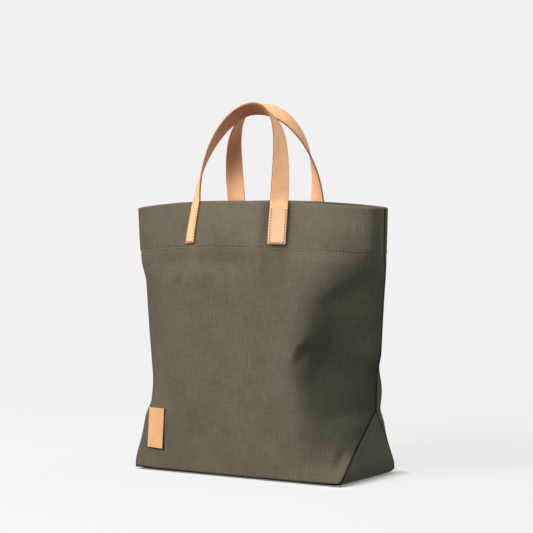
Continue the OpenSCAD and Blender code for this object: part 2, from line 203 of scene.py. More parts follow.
def side_faces(rows, cols):
    """Faces that join the edges of two equal grids, the second one's points after the first's."""
    n = rows * cols
    loop = list(range(cols)) + [i * cols + cols - 1 for i in range(1, rows)]
    loop += [(rows - 1) * cols + j for j in range(cols - 2, -1, -1)]
    loop += [i * cols for i in range(rows - 2, 0, -1)]
    return [[a, a + n, b + n, b] for a, b in zip(loop, loop[1:] + loop[:1])]


def tube_faces(rings, around, flip=False):
    """Faces of a closed bar through rings of `around` points each."""
    faces = []
    for r in range(rings - 1):
        for k in range(around):
            a, b = r * around + k, r * around + (k + 1) % around
            faces.append([a, b, b + around, a + around])
    last = (rings - 1) * around
    faces.append(list(range(around))[::-1])
    faces.append([last + k for k in range(around)])
    return [f[::-1] for f in faces] if flip else faces


# ---- the cloth ----
def seam_x(z):
    """How far the seams are from the middle: the end seams up to POINT_Z, then the side seams."""
    low = BASE_W + (POINT_W - BASE_W) * smooth(z / POINT_Z, END_SEAM, 1)
    high = POINT_W + (MOUTH_W - POINT_W) * smooth((z - POINT_Z) / (RIM_Z - POINT_Z), FLARE)
    return np.where(z < POINT_Z, low, high) / 2


def seam_y(z):
    """Half the depth between the two end seams, which meet at POINT_Z."""
    return np.where(z < POINT_Z, BASE_D / 2 * smooth(z / POINT_Z, END_SEAM, 2), 0)


def bulge_share(x):
    """Share of the bulge that is taken back at x: 0 between the straps and 1 beyond them."""
    d = x - RAMP_X
    left = np.maximum(0, RAMP_END - np.abs(d))
    rounded = 0.5 - np.sign(d) * (0.5 - left * left / (2 * (RAMP_END - RAMP_FLAT) * RAMP_RUN))
    return np.where(np.abs(d) < RAMP_FLAT, 0.5 - d / RAMP_RUN, rounded)


def level_cut(side, t, z):
    """x and depth of the level cut at height z, t from 0 in the middle to 1 at the seam."""
    h = z / RIM_Z
    b = side["bulge"] * smooth(h, BULGE_FADE)
    mid = smooth(h, CUTS, 1) * BASE_D / 2 - b / 2
    w = [(1 - t) ** 3, 3 * (1 - t) ** 2 * t, 3 * (1 - t) * t * t, t ** 3]
    x = (w[1] * smooth(h, CUTS, 2) + w[2] * smooth(h, CUTS, 3)) * BASE_W / 2 + w[3] * seam_x(z)
    y = (w[0] + w[1]) * mid + w[2] * smooth(h, CUTS, 4) * BASE_D / 2 + w[3] * seam_y(z)
    return x, y + b * bulge_share(x)


def rise(x, z):
    """How much higher a place is than its nominal height, as the rim is higher in its middle."""
    return RIM_RISE * np.interp(z / RIM_Z, [0.27, 0.83], [0, 1]) * (1 - (x / (MOUTH_W / 2)) ** 2)


def drifted(points, z):
    """Points moved with the lean of the bag at nominal height z."""
    moved = np.array(points, float)
    moved[..., :2] += DRIFT * (1 - np.asarray(z, float)[..., None] / RIM_Z)
    return moved


def corner_lift(points):
    """The base's rounded corners don't quite reach the floor, least of all at the back right."""
    x, y, z = points[..., 0], points[..., 1], points[..., 2]
    low = 1 - step(z, 0, 60)
    corner = step(np.abs(x - DRIFT[0]), 128, 168) * step(np.abs(y - DRIFT[1]), 45, 85)
    tip = step(x, 150, 174) * step(y, 72, 89)
    lifted = np.array(points)
    lifted[..., 2] += low * (0.8 * corner + 3.2 * tip)
    return lifted


def crease(s, z, path, depth, width, ends=0.15):
    """Displacement of a fold along a path of (s, z) places; depth below 0 goes inwards."""
    nearest = np.full(s.shape, 1e9)
    along = np.zeros(s.shape)
    path = np.asarray(path, float)
    lengths = length_along(path)
    for k in range(len(path) - 1):
        d = path[k + 1] - path[k]
        u = np.clip(((s - path[k, 0]) * d[0] + (z - path[k, 1]) * d[1]) / (d @ d), 0, 1)
        far = np.hypot(s - path[k, 0] - u * d[0], z - path[k, 1] - u * d[1])
        closer = far < nearest
        nearest = np.where(closer, far, nearest)
        along = np.where(closer, (lengths[k] + u * (lengths[k + 1] - lengths[k])) / lengths[-1], along)
    fade = step(along, 0, ends) * step(1 - along, 0, ends) if ends else 1
    return depth * fade * bell(nearest, 0, width)


# where the front's right side sinks in: [height, how far in], [height, s where it starts],
# and the fold above it as [s, height]
SINK = np.array([[20, 0], [50, -4.5], [90, -9], [120, -12], [142, -14.5], [156, -15.5], [172, -14],
                 [188, -11.5], [205, -8], [222, -6], [240, -6.5], [260, -8.5], [300, -9.5]])
SHOULDER = np.array([[30, 110], [70, 98], [110, 88], [145, 84], [160, 88], [171, 94], [200, 109],
                     [230, 111], [260, 110]])
FOLD = np.array([[100, 238], [120, 245], [140, 253], [160, 262], [180, 276], [200, 289], [222, 301]])
NOSE_Z, GENTLE_RUN, STEEP_RUN = 171.0, 50.0, 17.0


def sink(s, z):
    """The side sinks in between the shoulder of the front and the side seam, in part
    steeply where the dent has its nose."""
    start = smooth(z, SHOULDER)
    over = smooth(s, FOLD)
    steep = 0.45 * bell(z, NOSE_Z, 15)
    ramp = (1 - steep) * step(s, start, start + GENTLE_RUN) + steep * step(s, start, start + STEEP_RUN)
    return smooth(z, SINK) * ramp * (1 - step(z, over - 22, over + 4))


def pull(share, z):
    """How the cloth hangs at the seams, share being 1 at the right one and -1 at the left one:
    the right one is drawn in and back above the base and held out below the hem and at the
    rim, and the left one droops at the rim."""
    share, z = np.broadcast_arrays(share, z)
    drawn_in = np.clip((share - 0.45) / 0.55, 0, 1) ** 1.3 * step(z, 0, 100) * (1 - step(z, 165, 330))
    droop = step(-share, 0.4, 1) * step(z, 170, 370)
    corner = step(share, 0.7, 1) * step(z, 250, 370)
    below_hem = step(share, 0.7, 1) * step(z, 135, 175) * (1 - step(z, 270, 325))
    x = 3 * droop + 1.8 * corner + 5 * below_hem - 18 * drawn_in
    return np.stack([x, 28 * drawn_in, -2.4 * droop], -1)


def folds(side, s, z, from_seam):
    """How far the cloth stands out from its smooth shape."""
    out = np.zeros(s.shape)
    if side is FRONT:
        out += sink(s, z) * step(from_seam, 0, 75)
        out += crease(s, z, [[95, 172], [106, 174], [126, 178]], -1.6, 6, 0.3)
        out += crease(s, z, [[-195, 288], [-100, 287], [0, 286], [66, 289]], -3, 12, 0.3)
        out += crease(s, z, [[57, 310], [57, 372]], -1.4, 9, 0) * step(z, 300, 316)
        out += 4.6 * bell(s, 203, 15) * step(z, 292, 318)
        out += crease(s, z, [[155, 15], [163, 33], [172, 51]], -3, 7, 0.3)
    else:
        out += crease(s, z, [[-205, 292], [-170, 272], [-130, 250]], -4, 14)
        out += crease(s, z, [[92, 196], [125, 198], [160, 192]], -4, 14, 0.25)
        out += 8 * bell(z, 122, 34) * step(s, 80, 150) * step(from_seam, 0, 20)
        out += crease(s, z, [[-50, 286], [10, 283], [60, 288]], -1.4, 12, 0.3)
    # the hem is a double layer, drawn in along its stitches
    out += 0.9 * step(z, STITCH_Z - 0.5, STITCH_Z + 2.5) - 0.45 * bell(z, STITCH_Z, 1.1)
    return out * step(from_seam, 0, 9)


# rows and columns of a side's grid, closest together at the seams, the hem and the rim
ROW_Z = np.unique(np.concatenate([
    [SEAM_Z, SEAM_Z + 1, SEAM_Z + 2.2, SEAM_Z + 4], np.linspace(SEAM_Z + 6.5, FACING_Z - 4, 94),
    np.linspace(FACING_Z - 3, STITCH_Z + 5, 13), np.linspace(STITCH_Z + 8, RIM_Z - RIM_R, 22)]))
HALF_COLUMNS = np.concatenate([np.linspace(0, 1, 72)[:-1], [0.9915, 0.9945, 0.997, 0.9988, 1.0]])
COLUMNS = np.concatenate([-HALF_COLUMNS[:0:-1], HALF_COLUMNS])


class Skin:
    """The outside of one side of the bag as a grid of points."""

    def __init__(self, side):
        self.side = side
        z = ROW_Z[:, None]
        t = np.linspace(0, 1, 601)[None]
        x, y = level_cut(side, t, z)
        run = np.concatenate([np.zeros((len(z), 1)), np.cumsum(np.hypot(np.diff(x), np.diff(y)), 1)], 1)
        self.half = run[:, -1]
        reach = np.abs(COLUMNS)
        px = np.stack([np.interp(reach * L, r, v) for L, r, v in zip(self.half, run, x)])
        py = np.stack([np.interp(reach * L, r, v) for L, r, v in zip(self.half, run, y)])
        self.s = self.half[:, None] * COLUMNS[None]
        self.z = np.repeat(z, len(COLUMNS), 1)
        base = np.stack([np.sign(COLUMNS) * px, side["sign"] * py, self.z + rise(px, self.z)], -1)
        base += pull(COLUMNS, self.z)
        self.points = drifted(base, self.z)
        self.find_normals()
        out = folds(side, self.s, self.z, self.seam_distance())
        self.points = corner_lift(self.points + self.normals * out[..., None])
        self.find_normals()

    def find_normals(self):
        across = np.gradient(self.points, axis=1)
        up = np.gradient(self.points, axis=0)
        self.normals = unit(-self.side["sign"] * np.cross(across, up))

    def seam_distance(self):
        return self.half[:, None] - np.abs(self.s)

    def at(self, s, z, off=0.0):
        """Points at places on the cloth, moved off it, and the directions out, right and up there."""
        s, z = np.broadcast_arrays(np.asarray(s, float), np.asarray(z, float))
        j = np.clip(np.searchsorted(ROW_Z, z.ravel()) - 1, 0, len(ROW_Z) - 2)
        v = np.clip((z.ravel() - ROW_Z[j]) / (ROW_Z[j + 1] - ROW_Z[j]), 0, 1)[:, None]
        found = []
        for field in (self.points, self.normals):
            value = 0
            for row, weight in ((j, 1 - v), (j + 1, v)):
                f = np.clip(s.ravel() / self.half[row], -1, 1)
                i = np.clip(np.searchsorted(COLUMNS, f) - 1, 0, len(COLUMNS) - 2)
                u = ((f - COLUMNS[i]) / (COLUMNS[i + 1] - COLUMNS[i]))[:, None]
                value = value + weight * ((1 - u) * field[row, i] + u * field[row, i + 1])
            found.append(value.reshape(s.shape + (3,)))
        point, out = found[0], unit(found[1])
        right = unit(np.stack([-out[..., 1], out[..., 0], 0 * out[..., 0]], -1))
        right = np.where(right[..., :1] < 0, -right, right)
        up = unit(np.cross(out, right))
        up = np.where(up[..., 2:] < 0, -up, up)
        return point + out * np.asarray(off, float)[..., None], out, right, up

    def s_of_x(self, x, z):
        """Distance along the cloth at which it passes x, near height z."""
        j = int(np.argmin(np.abs(ROW_Z - z)))
        return float(np.interp(x, self.points[j, :, 0], self.s[j]))


def seam_roll(distance):
    """How far the cloth turns in close to a seam."""
    left = np.clip(SEAM_R - distance, 0, SEAM_R)
    return SEAM_R - np.sqrt(SEAM_R ** 2 - left ** 2)


# ---- looks ----
CANVAS = (0.132, 0.1165, 0.0835)
LINING = (0.150, 0.134, 0.098)
TAPE = (0.075, 0.068, 0.052)
BOARD = (0.05, 0.046, 0.038)
HEM_THREAD = (0.34, 0.31, 0.225)
STRAP_THREAD = (0.05, 0.035, 0.02)
LEATHER = (0.95, 0.545, 0.275)
LABEL = (0.75, 0.415, 0.195)
PAINTED_TAB_SHEEN = (0.94, 0.632, 0.405, 1)     # painted sheen: the leather made paler over one tab and the foot of its leg
FLESH = (0.86, 0.47, 0.24, 1)      # its inner side
PAINTED_ARCH_SHADE = (0.64, 0.25, 0.11, 1)       # painted shade on its inner side over the arch, reddened like light bounced off leather
EDGE = (0.40, 0.12, 0.045, 1)      # its painted edges
STAIN_AT = (78, -2.7, 0)           # the spot on the front strap


class Nodes:
    """A node tree, built up call by call. Places on a surface are in millimetres."""

    def __init__(self, tree):
        self.tree = tree

    def add(self, kind, **settings):
        node = self.tree.nodes.new(kind)
        for key, value in settings.items():
            setattr(node, key, value)
        return node

    def feed(self, socket, source):
        if isinstance(source, bpy.types.NodeSocket):
            self.tree.links.new(source, socket)
        else:
            socket.default_value = source

    def math(self, operation, a, b):
        node = self.add("ShaderNodeMath", operation=operation)
        self.feed(node.inputs[0], a)
        self.feed(node.inputs[1], b)
        return node.outputs[0]

    def blend_of(self, *parts):
        """The sum of (value, weight) pairs."""
        weighted = [self.math("MULTIPLY", value, weight) for value, weight in parts]
        total = weighted[0]
        for part in weighted[1:]:
            total = self.math("ADD", total, part)
        return total

    def vector(self, operation, a, b=None):
        node = self.add("ShaderNodeVectorMath", operation=operation)
        self.feed(node.inputs[0], a)
        if b:
            node.inputs[1].default_value = b
        return node.outputs["Value" if operation in ("LENGTH", "DISTANCE") else "Vector"]

    def place(self, across=1.0, up=1.0, source="uv"):
        """The place on the surface in millimetres, times a factor each way."""
        if source == "uv":
            where = self.add("ShaderNodeUVMap", uv_map="cloth").outputs[0]
        else:
            where = self.add("ShaderNodeTexCoord").outputs["Object"]
        mapping = self.add("ShaderNodeMapping")
        self.feed(mapping.inputs["Vector"], where)
        mapping.inputs["Scale"].default_value = (1000 * across, 1000 * up, 1000 * up)
        return mapping.outputs[0]

    def noise(self, where, scale, detail=2.0, rough=0.5):
        node = self.add("ShaderNodeTexNoise", noise_dimensions="3D")
        self.feed(node.inputs["Vector"], where)
        node.inputs["Scale"].default_value = scale
        node.inputs["Detail"].default_value = detail
        node.inputs["Roughness"].default_value = rough
        return node.outputs["Fac"]

    def bands(self, where, pitch, direction):
        node = self.add("ShaderNodeTexWave", wave_type="BANDS", bands_direction=direction, wave_profile="SIN")
        self.feed(node.inputs["Vector"], where)
        node.inputs["Scale"].default_value = 6.2832 / (20 * pitch)
        return node.outputs["Fac"]

    def mark(self, name):
        return self.add("ShaderNodeAttribute", attribute_name=name).outputs["Fac"]

    def spread(self, value, low, high, to_low=0.0, to_high=1.0):
        node = self.add("ShaderNodeMapRange")
        self.feed(node.inputs["Value"], value)
        limits = {"From Min": low, "From Max": high, "To Min": to_low, "To Max": to_high}
        for key, number in limits.items():
            node.inputs[key].default_value = number
        return node.outputs[0]

    def mix(self, share, a, b):
        node = self.add("ShaderNodeMix", data_type="RGBA")
        self.feed(node.inputs["Factor"], share)
        self.feed(node.inputs[6], a)
        self.feed(node.inputs[7], b)
        return node.outputs[2]


class Look(Nodes):
    """A material with one shader, whose uniform values are set on its own sockets."""

    def __init__(self, name, rough, **uniform):
        self.material = bpy.data.materials.new(name)
        self.material.use_nodes = True
        super().__init__(self.material.node_tree)
        self.shader = self.tree.nodes["Principled BSDF"]
        self.shader.inputs["Roughness"].default_value = rough
        for key, value in uniform.items():
            self.shader.inputs[key.replace("_", " ")].default_value = value

    def color(self, source):
        self.feed(self.shader.inputs["Base Color"], source)

    def bump(self, height, depth_mm):
        node = self.add("ShaderNodeBump")
        node.inputs["Strength"].default_value = 1.0
        node.inputs["Distance"].default_value = depth_mm / 1000
        self.feed(node.inputs["Height"], height)
        self.feed(self.shader.inputs["Normal"], node.outputs[0])


def shade(color, k):
    """A colour made lighter or darker by the factor k."""
    return tuple(c * k for c in color[:3]) + (1.0,)


def canvas_look(name, color):
    """Waxed canvas: plain weave with slubs, mottled wax, pale rubbed creases and painted shade where a mark
    asks for it.
    """
    look = Look(name, 0.92, Specular_IOR_Level=0.12)
    fine = look.place()
    weft = look.bands(fine, 0.95, "Y")
    warp = look.bands(fine, 0.85, "X")
    thread = look.math("MAXIMUM", weft, warp)
    slub_across = look.noise(look.place(0.05, 0.75), 1.0, 3.0, 0.6)
    slub_up = look.noise(look.place(0.62, 0.04), 1.0, 3.0, 0.6)
    slub = look.blend_of((slub_across, 0.42), (slub_up, 0.5))
    mottle = look.noise(fine, 0.018, 3.0, 0.6)
    speck = look.noise(fine, 0.5, 2.0, 0.7)
    tone = look.blend_of((slub, 0.5), (mottle, 0.22), (speck, 0.26), (thread, 0.08))
    base = look.mix(look.spread(tone, 0.39, 0.63), shade(color, 0.69), shade(color, 1.31))
    rubbed = look.math("MULTIPLY", look.mark("worn"), look.spread(speck, 0.3, 0.7, 0.4, 1.0))
    base = look.mix(rubbed, base, shade(color, 1.5))
    # the mark mixes in painted shade, near black, where the cloth would lie in shade: seam grooves, under the
    # hem, by the floor and in broad patches
    look.color(look.mix(look.mark("painted_shade"), base, shade(color, 0.06)))
    look.bump(look.blend_of((thread, 0.6), (slub, 1.6)), 0.12)
    return look.material


def leather_look(name, color, spot=None):
    """Vegetable-tanned leather: fine grain, long soft streaks, painted edges, a rough inner side with painted
    shade over the arch, a painted sheen over one tab and perhaps a spot at a place on it."""
    look = Look(name, 0.5, Specular_IOR_Level=0.35)
    fine = look.place()
    grain = look.noise(fine, 1.6, 3.0, 0.65)
    streak = look.noise(look.place(0.02, 0.5), 1.0, 3.0, 0.6)
    cloud = look.noise(fine, 0.03, 2.0, 0.5)
    tone = look.blend_of((streak, 0.4), (cloud, 0.6))
    face = look.mix(look.spread(tone, 0.35, 0.65), shade(color, 0.9), shade(color, 1.06))
    pore = look.spread(grain, 0.25, 0.42, 0.55, 0.0)
    face = look.mix(pore, face, shade(color, 0.82))
    if spot:
        stain = (color[0] * 0.95, color[1] * 0.72, color[2] * 0.4, 1)
        face = look.mix(look.spread(look.vector("DISTANCE", fine, spot), 1.0, 4.5, 0.55, 0.0), face, stain)
    # painted sheen: paler, less saturated leather over one tab, as the mark says
    face = look.mix(look.mark("pale"), face, PAINTED_TAB_SHEEN)
    raw = look.mix(look.spread(grain, 0.3, 0.7), FLESH, shade(FLESH, 1.15))
    # painted shade: the inner side turns a darker red-brown over the arch
    raw = look.mix(look.mark("painted_arch_shade"), raw, PAINTED_ARCH_SHADE)
    face = look.mix(look.mark("flesh"), face, raw)
    look.color(look.mix(look.mark("edge"), face, EDGE))
    look.bump(look.math("ADD", grain, look.math("MULTIPLY", streak, 0.5)), 0.06)
    return look.material


def thread_look(name, color):
    """Twisted thread, lighter and darker along its plies."""
    look = Look(name, 0.75, Sheen_Weight=0.2)
    ply = look.noise(look.place(source="object"), 1.8, 2.0, 0.6)
    look.color(look.mix(look.spread(ply, 0.3, 0.7), shade(color, 0.75), shade(color, 1.2)))
    look.bump(ply, 0.1)
    return look.material


canvas = canvas_look("olive_canvas", CANVAS)
lining = canvas_look("canvas_inner_side", LINING)
binding = canvas_look("binding_tape", TAPE)
board_cover = canvas_look("board_cover", BOARD)
stained_leather = leather_look("stained_strap_leather", LEATHER, STAIN_AT)
strap_leather = leather_look("strap_leather", LEATHER)
label_leather = leather_look("label_leather", LABEL)
hem_thread = thread_look("hem_thread", HEM_THREAD)
strap_thread = thread_look("strap_thread", STRAP_THREAD)


# ---- camera, light and floor ----
# the camera's place: degrees to the right of the front and above the level, then metres from
# the middle of the bag's box, to the right and up
CAMERA_TURN, CAMERA_DIP = 31.51, 2.22
CAMERA_BACK, CAMERA_RIGHT, CAMERA_UP = 2.5871, 0.0130, 0.0293
CAMERA_LENS = 124.9
BACKDROP = (0.888, 0.871, 0.880, 1)
STAGE_R = 9000   # how far the floor reaches
NEAR_BASE = 26   # how far from the base the floor is lit like paper


def add_camera():
    turn, dip = np.radians(CAMERA_TURN), np.radians(CAMERA_DIP)
    back = Vector((np.sin(turn) * np.cos(dip), -np.cos(turn) * np.cos(dip), np.sin(dip)))
    right = Vector((np.cos(turn), np.sin(turn), 0))
    camera = bpy.data.objects.new("camera", bpy.data.cameras.new("camera"))
    bpy.context.scene.collection.objects.link(camera)
    camera.data.lens, camera.data.sensor_width = CAMERA_LENS, 36
    camera.data.clip_end = 100
    camera.location = ((CAD_LOW + CAD_HIGH) / 2 + back * CAMERA_BACK + right * CAMERA_RIGHT
                       + back.cross(right) * CAMERA_UP)
    camera.rotation_euler = (-back).to_track_quat("-Z", "Y").to_euler()
    bpy.context.scene.camera = camera


def add_lamp(name, kind, power, turn_deg, height_deg):
    """A lamp and the direction that it shines from; turn is from -Y towards -X."""
    lamp = bpy.data.objects.new(name, bpy.data.lights.new(name, kind))
    bpy.context.scene.collection.objects.link(lamp)
    turn, height = np.radians(turn_deg), np.radians(height_deg)
    source = Vector((-np.sin(turn) * np.cos(height), -np.cos(turn) * np.cos(height), np.sin(height)))
    lamp.rotation_euler = source.to_track_quat("Z", "Y").to_euler()
    lamp.data.energy = power
    return lamp, source


def add_sun(name, power, turn_deg, height_deg):
    """A lamp as broad as a soft box, the same everywhere."""
    lamp, _ = add_lamp(name, "SUN", power, turn_deg, height_deg)
    lamp.data.angle = np.radians(60)


def add_softbox(name, power, turn_deg, height_deg, size, distance, color, aim_z=0.26, spread_deg=180):
    """A round soft box that faces the bag's middle at height aim_z."""
    lamp, source = add_lamp(name, "AREA", power, turn_deg, height_deg)
    lamp.location = Vector((0, 0, aim_z)) + source * distance
    lamp.data.shape, lamp.data.size = "DISK", size
    lamp.data.spread = np.radians(spread_deg)
    lamp.data.color = color


def add_lights():
    add_softbox("key", 139, 25, 36, 2.2, 3.2, (1, 0.985, 0.96))
    add_softbox("kicker", 0.05, -60, 12, 0.3, 1.5, (1, 0.95, 0.88), aim_z=0.45, spread_deg=16)
    add_sun("top", 0.7, 0, 88)
    add_sun("behind", 0.9, -135, 20)


def add_room():
    """The light from all round: pale from below, in place of the floor's, and dim from above."""
    scene = bpy.context.scene
    scene.view_settings.view_transform = "Standard"
    scene.world = bpy.data.worlds.new("studio")
    scene.world.use_nodes = True
    room = Nodes(scene.world.node_tree)
    up = room.add("ShaderNodeSeparateXYZ")
    room.feed(up.inputs[0], room.add("ShaderNodeTexCoord").outputs["Generated"])
    upwards = room.spread(up.outputs["Z"], -0.1, 0.1)
    glow = room.mix(upwards, (0.28, 0.267, 0.254, 1), (0.075, 0.075, 0.075, 1))
    room.feed(room.tree.nodes["Background"].inputs["Color"], glow)


def add_floor():
    """A floor that glows like the backdrop, takes soft shadows round the bag and, right
    beside the base, is lit like plain pale paper, so that the bag stands firmly on it."""
    pale = Look("pale_floor", 0.9, Specular_IOR_Level=0.0, Emission_Strength=1.0)
    place = pale.place(source="object")
    far = pale.spread(pale.vector("LENGTH", place), 500, 1500)
    beside = pale.vector("ABSOLUTE", pale.vector("SUBTRACT", place, (*DRIFT, 0)))
    beside = pale.vector("SUBTRACT", beside, (BASE_W / 2, BASE_D / 2, 0))
    beside = pale.vector("LENGTH", pale.vector("MAXIMUM", beside, (0, 0, 0)))
    near = pale.spread(beside, 0, NEAR_BASE, 1, 0)
    matt = pale.mix(far, (0.12, 0.118, 0.12, 1), (0, 0, 0, 1))
    pale.color(pale.mix(near, matt, (0.75, 0.74, 0.745, 1)))
    lit_up = pale.mix(far, (0.775, 0.761, 0.772, 1), BACKDROP)
    pale.feed(pale.shader.inputs["Emission Color"], pale.mix(near, lit_up, (0.2, 0.196, 0.2, 1)))
    r = STAGE_R
    floor = add_mesh("floor", [[-r, -r, 0], [r, -r, 0], [r, r, 0], [-r, r, 0]], [[0, 1, 2, 3]], pale.material)
    floor.visible_diffuse = floor.visible_shadow = False
    return floor


def add_backdrop():
    """A plain glowing wall all round, seen by the camera only."""
    look = bpy.data.materials.new("backdrop")
    look.use_nodes = True
    look.node_tree.nodes.clear()
    lit = look.node_tree.nodes.new("ShaderNodeEmission")
    lit.inputs["Color"].default_value = BACKDROP
    out = look.node_tree.nodes.new("ShaderNodeOutputMaterial")
    look.node_tree.links.new(lit.outputs[0], out.inputs[0])
    n = 48
    turns = np.linspace(0, 2 * np.pi, n, endpoint=False)
    ring = [[0.98 * STAGE_R * np.cos(a), 0.98 * STAGE_R * np.sin(a)] for a in turns]
    points = [[x, y, h] for h in (-10, STAGE_R) for x, y in ring]
    faces = [[k, (k + 1) % n, n + (k + 1) % n, n + k] for k in range(n)]
    wall = add_mesh("backdrop", points, faces, look)
    for kind in ("diffuse", "glossy", "transmission", "shadow", "volume_scatter"):
        setattr(wall, "visible_" + kind, False)
    return wall


# ---- canvas pieces ----
def panel_faces(n, cols, outer, flip):
    """Faces of a cloth of n rows of points, up the outer side in `outer` of them and down the
    inner side, closed along its lower edge and its two ends."""
    faces = list(grid_faces(n, cols, flip=flip))
    a = np.arange(cols - 1)
    last = (n - 1) * cols
    bottom = np.stack([last + a, last + a + 1, a + 1, a], 1)
    faces += list(bottom[:, ::-1] if flip else bottom)
    for i in (0, cols - 1):
        turned = (i == 0) == flip
        for j in range(outer - 1):
            quad = [j * cols + i, (j + 1) * cols + i, (n - 2 - j) * cols + i, (n - 1 - j) * cols + i]
            faces.append(quad[::-1] if turned else quad)
        rim = [j * cols + i for j in range(outer - 1, n - outer + 1)]
        faces.append(rim[::-1] if turned else rim)
    return faces


def panel_marks(skin, n):
    """Where the cloth is rubbed pale, and where shade is painted on it: in its seam grooves, as a
    shadow line under its stitches, along its lowest edge by the floor and, at the front, in two broad soft
    patches."""
    outer, from_seam = len(ROW_Z), skin.seam_distance()
    worn, painted_shade = np.zeros((n, len(COLUMNS))), np.zeros((n, len(COLUMNS)))
    worn[:outer] = 0.35 * bell(skin.z, STITCH_Z + 1.5, 1.4) + 0.5 * bell(skin.z, RIM_Z, 2.0)
    worn[:outer] += 0.3 * bell(from_seam, 4.2, 1.4)
    worn[outer:outer + RIM_STEPS] = 0.6
    # painted shade in the seam grooves, and a painted shadow line just under the hem's stitches
    painted_shade[:outer] = bell(from_seam, 0, 2.2) + 0.25 * bell(skin.z, STITCH_Z - 0.9, 0.9)
    # a painted contact shadow along the cloth's lowest rows, next to the floor
    painted_shade[:outer] += bell(skin.z, SEAM_Z, 1.5)
    if skin.side is FRONT:
        # painted shade: the front made darker towards its left
        painted_shade[:outer] += 0.2 * step(-skin.s, -20, 170)
        # painted shade over the lower right of the front, below the dent
        painted_shade[:outer] += 0.32 * step(skin.s, 95, 140) * (1 - step(skin.z, 150, 200)) * step(skin.z, 18, 60)
    return {"worn": np.clip(worn, 0, 1).ravel(), "painted_shade": np.clip(painted_shade, 0, 1).ravel()}


def canvas_panel(skin, name, nodes):
    """Outer cloth, rolled rim, turned-in hem and inner side as one closed piece."""
    points, normals = skin.points, skin.normals
    rolled = points - normals * seam_roll(skin.seam_distance())[..., None]
    rings, uv_z = list(rolled), list(ROW_Z)
    top, out = rolled[-1], normals[-1]
    up = unit(points[-1] - points[-2])
    for k in range(1, RIM_STEPS + 1):
        a = np.pi * k / (RIM_STEPS + 1)
        rings.append(top + RIM_R * ((np.cos(a) - 1) * out + np.sin(a) * up))
        uv_z.append(RIM_Z + RIM_R * a)
    for j in range(len(ROW_Z) - 1, -1, -1):
        depth = CANVAS_T + FACING_T * step(ROW_Z[j], FACING_Z - 0.6, FACING_Z + 0.6)
        rings.append(rolled[j] - normals[j] * depth)
        uv_z.append(2 * RIM_Z - ROW_Z[j] + 9)
    faces = panel_faces(len(rings), len(COLUMNS), len(ROW_Z), skin.side["sign"] > 0)
    s = np.concatenate([skin.s, np.repeat(skin.s[-1:], RIM_STEPS, 0), skin.s[::-1]])
    uv = np.stack([s, np.repeat(np.array(uv_z)[:, None], len(COLUMNS), 1)], -1)
    return add_mesh(name, np.concatenate(rings), faces, canvas, "bag", uv.reshape(-1, 2),
                    panel_marks(skin, len(rings)), nodes)


def end_grid(hand, rows, cols):
    """A triangular end between its two seams: a grid of points, how far each is from a seam,
    and its height and depth before the bag leans."""
    z = np.linspace(SEAM_Z, POINT_Z - 0.4, rows)[:, None]
    c = np.linspace(-1, 1, cols)[None]
    c = np.sign(c) * (1 - (1 - np.abs(c)) ** 1.4)
    x = hand * (seam_x(z) + 0 * c)
    y = c * seam_y(z)
    zz = z + 0 * c
    grid = drifted(np.stack([x, y, zz], -1) + pull(hand, zz), zz)
    return corner_lift(grid), (1 - np.abs(c)) * seam_y(z), zz, y


def canvas_base():
    """Floor and triangular ends, one piece of canvas."""
    points, faces, uv, worn, painted_shade, first = [], [], [], [], [], 0
    for hand in (-1, 1):
        rows, cols = 46, 49
        grid, distance, z, y = end_grid(hand, rows, cols)
        across, up = np.gradient(grid, axis=1), np.gradient(grid, axis=0)
        out = unit(hand * np.cross(across, up))
        rolled = grid - out * seam_roll(distance * 0.93)[..., None]
        for k, layer in enumerate((rolled, rolled - out * CANVAS_T)):
            points.append(layer.reshape(-1, 3))
            faces += list(grid_faces(rows, cols, first, flip=(hand < 0) == (k == 0)))
            first += rows * cols
            uv.append(np.stack([y + hand * 240, z], -1).reshape(-1, 2))
            worn.append((0.3 * bell(distance, 4.2, 1.4)).ravel())
            # painted shade in the seam grooves, and painted shade on the lowest 30 mm towards the floor
            painted_shade.append((bell(distance, 0, 2.2) + 0.3 * (1 - step(z, 0, 30))).ravel())
    nx, ny = 67, 33
    u, v = np.linspace(-1, 1, nx)[None], np.linspace(-1, 1, ny)[:, None]
    x, y = u * BASE_W / 2 + 0 * v, v * BASE_D / 2 + 0 * u
    edge = np.minimum(BASE_W / 2 - np.abs(x), BASE_D / 2 - np.abs(y))
    z = 0.15 + (SEAM_Z - 0.4) * (1 - step(edge, 0, 12)) + 0.25 * bell(edge, 30, 14)
    for k, lift in enumerate((0, CANVAS_T)):
        layer = corner_lift(drifted(np.stack([x, y, 0 * x], -1), 0 * x))
        layer[..., 2] += z + lift
        points.append(layer.reshape(-1, 3))
        faces += list(grid_faces(ny, nx, first, flip=k == 0))
        first += nx * ny
        uv.append(np.stack([x, y - 300], -1).reshape(-1, 2))
        worn.append((0.4 * bell(edge, 3, 2)).ravel())
        # a painted contact shadow round the base's edge, where it meets the floor
        painted_shade.append(bell(edge, 0, 14).ravel())
    return add_mesh("base_canvas", np.concatenate(points), faces, canvas, "bag", np.concatenate(uv),
                    {"worn": np.concatenate(worn), "painted_shade": np.clip(np.concatenate(painted_shade), 0, 1)},
                    ["base_panel"])


